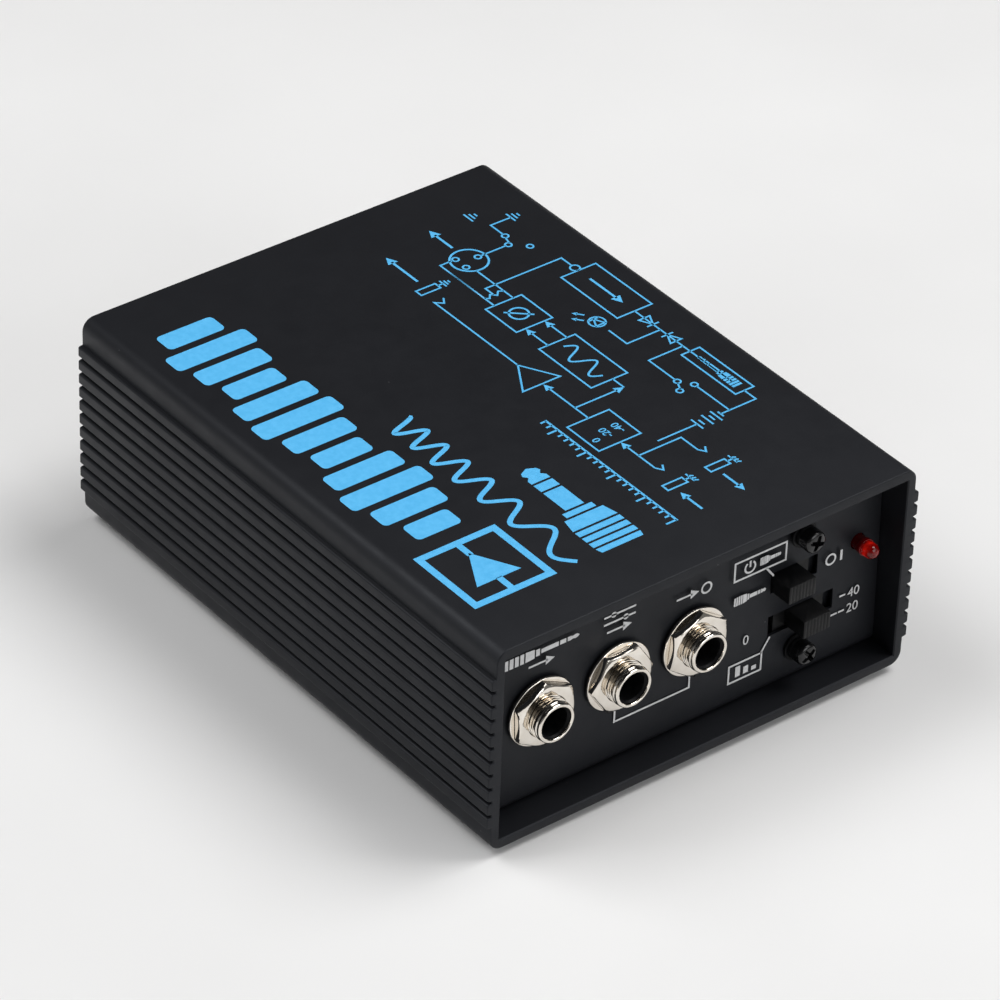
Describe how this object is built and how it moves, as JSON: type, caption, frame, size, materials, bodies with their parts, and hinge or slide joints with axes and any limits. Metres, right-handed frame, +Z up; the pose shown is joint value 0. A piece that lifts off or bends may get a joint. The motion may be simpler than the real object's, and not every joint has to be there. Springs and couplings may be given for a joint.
{
  "type": "direct injection box",
  "caption": "Active direct injection box: ribbed dark aluminium sleeve, recessed panels with phone jacks and slide switches, three-pin output and an underside battery cover.",
  "frame": {"origin": "under the middle of the case, on the surface that the feet stand on", "axes": "+X right as seen from the front panel, +Y from the front panel to the rear, +Z up"},
  "size_m": [0.1122, 0.1448, 0.0524],
  "materials": {
    "case_finish": "satin charcoal black coat with fine grain",
    "nickel": "bright nickel plate",
    "black_screws": "glossy black plate",
    "steel": "dull zinc plate",
    "knob_plastic": "moulded, fine satin",
    "black_plastic": "moulded, matt",
    "rubber": "matt rubber",
    "red_lens": "tinted clear resin",
    "board": "green solder mask",
    "capacitor_sleeve": "shrink sleeve",
    "battery_jacket": "printed steel jacket",
    "print_blue": "screen-printed ink",
    "print_white": "screen-printed ink"
  },
  "bodies": {
    "root": {"case_sleeve": "case_finish", "chassis": "case_finish", "front_switch_plate": "case_finish", "rear_switch_plate": "case_finish", "foot_front_left": "rubber", "foot_front_right": "rubber", "foot_rear_left": "rubber", "foot_rear_right": "rubber", "case_screw_front_left": "black_screws", "case_screw_front_right": "black_screws", "case_screw_rear_left": "black_screws", "case_screw_rear_right": "black_screws", "front_screw_upper": "black_screws", "front_screw_lower": "black_screws", "flat_washer_upper": "black_screws", "flat_washer_lower": "black_screws", "spring_washer_upper": "black_screws", "spring_washer_lower": "black_screws", "rear_screw_left": "black_screws", "rear_screw_right": "black_screws", "output_screw_1": "black_screws", "output_screw_2": "black_screws", "jack_washer_unbalanced": "nickel", "jack_nut_unbalanced": "nickel", "jack_bush_unbalanced": "nickel", "jack_body_unbalanced": "black_plastic", "jack_tip_contact_unbalanced": "steel", "jack_washer_link": "nickel", "jack_nut_link": "nickel", "jack_bush_link": "nickel", "jack_body_link": "black_plastic", "jack_tip_contact_link": "steel", "jack_washer_input": "nickel", "jack_nut_input": "nickel", "jack_bush_input": "nickel", "jack_body_input": "black_plastic", "jack_tip_contact_input": "steel", "power_switch_body": "black_plastic", "pad_switch_body": "black_plastic", "phase_switch_body": "black_plastic", "ground_switch_body": "black_plastic", "output_transformer": "steel", "battery_cover_pin": "steel", "power_led": "red_lens", "output_shell": "nickel", "output_pin_1": "nickel", "output_pin_2": "nickel", "output_pin_3": "nickel", "output_insert": "black_plastic", "amplifier_chip": "black_plastic", "battery_snap": "black_plastic", "battery_box": "black_plastic", "main_board": "board", "supply_capacitor": "capacitor_sleeve", "battery": "battery_jacket"},
    "power_knob": {"power_switch_slider": "knob_plastic"},
    "pad_knob": {"pad_switch_slider": "knob_plastic"},
    "phase_knob": {"phase_switch_slider": "knob_plastic"},
    "ground_knob": {"ground_switch_slider": "knob_plastic"},
    "battery_door": {"battery_cover": "black_plastic"}
  },
  "joints": [
    {"name": "power_slide", "type": "slide", "parent": "root", "child": "power_knob", "axis": [1, 0, 0], "range_m": [0, 0.005]},
    {"name": "pad_slide", "type": "slide", "parent": "root", "child": "pad_knob", "axis": [1, 0, 0], "range_m": [-0.005, 0.005]},
    {"name": "phase_slide", "type": "slide", "parent": "root", "child": "phase_knob", "axis": [-1, 0, 0], "range_m": [0, 0.005]},
    {"name": "ground_slide", "type": "slide", "parent": "root", "child": "ground_knob", "axis": [-1, 0, 0], "range_m": [0, 0.005]},
    {"name": "battery_cover_hinge", "type": "hinge", "parent": "root", "child": "battery_door", "pos_m": [0, 0.0102, 0.0039], "axis": [-1, 0, 0], "range_deg": [0, 95]}
  ]
}
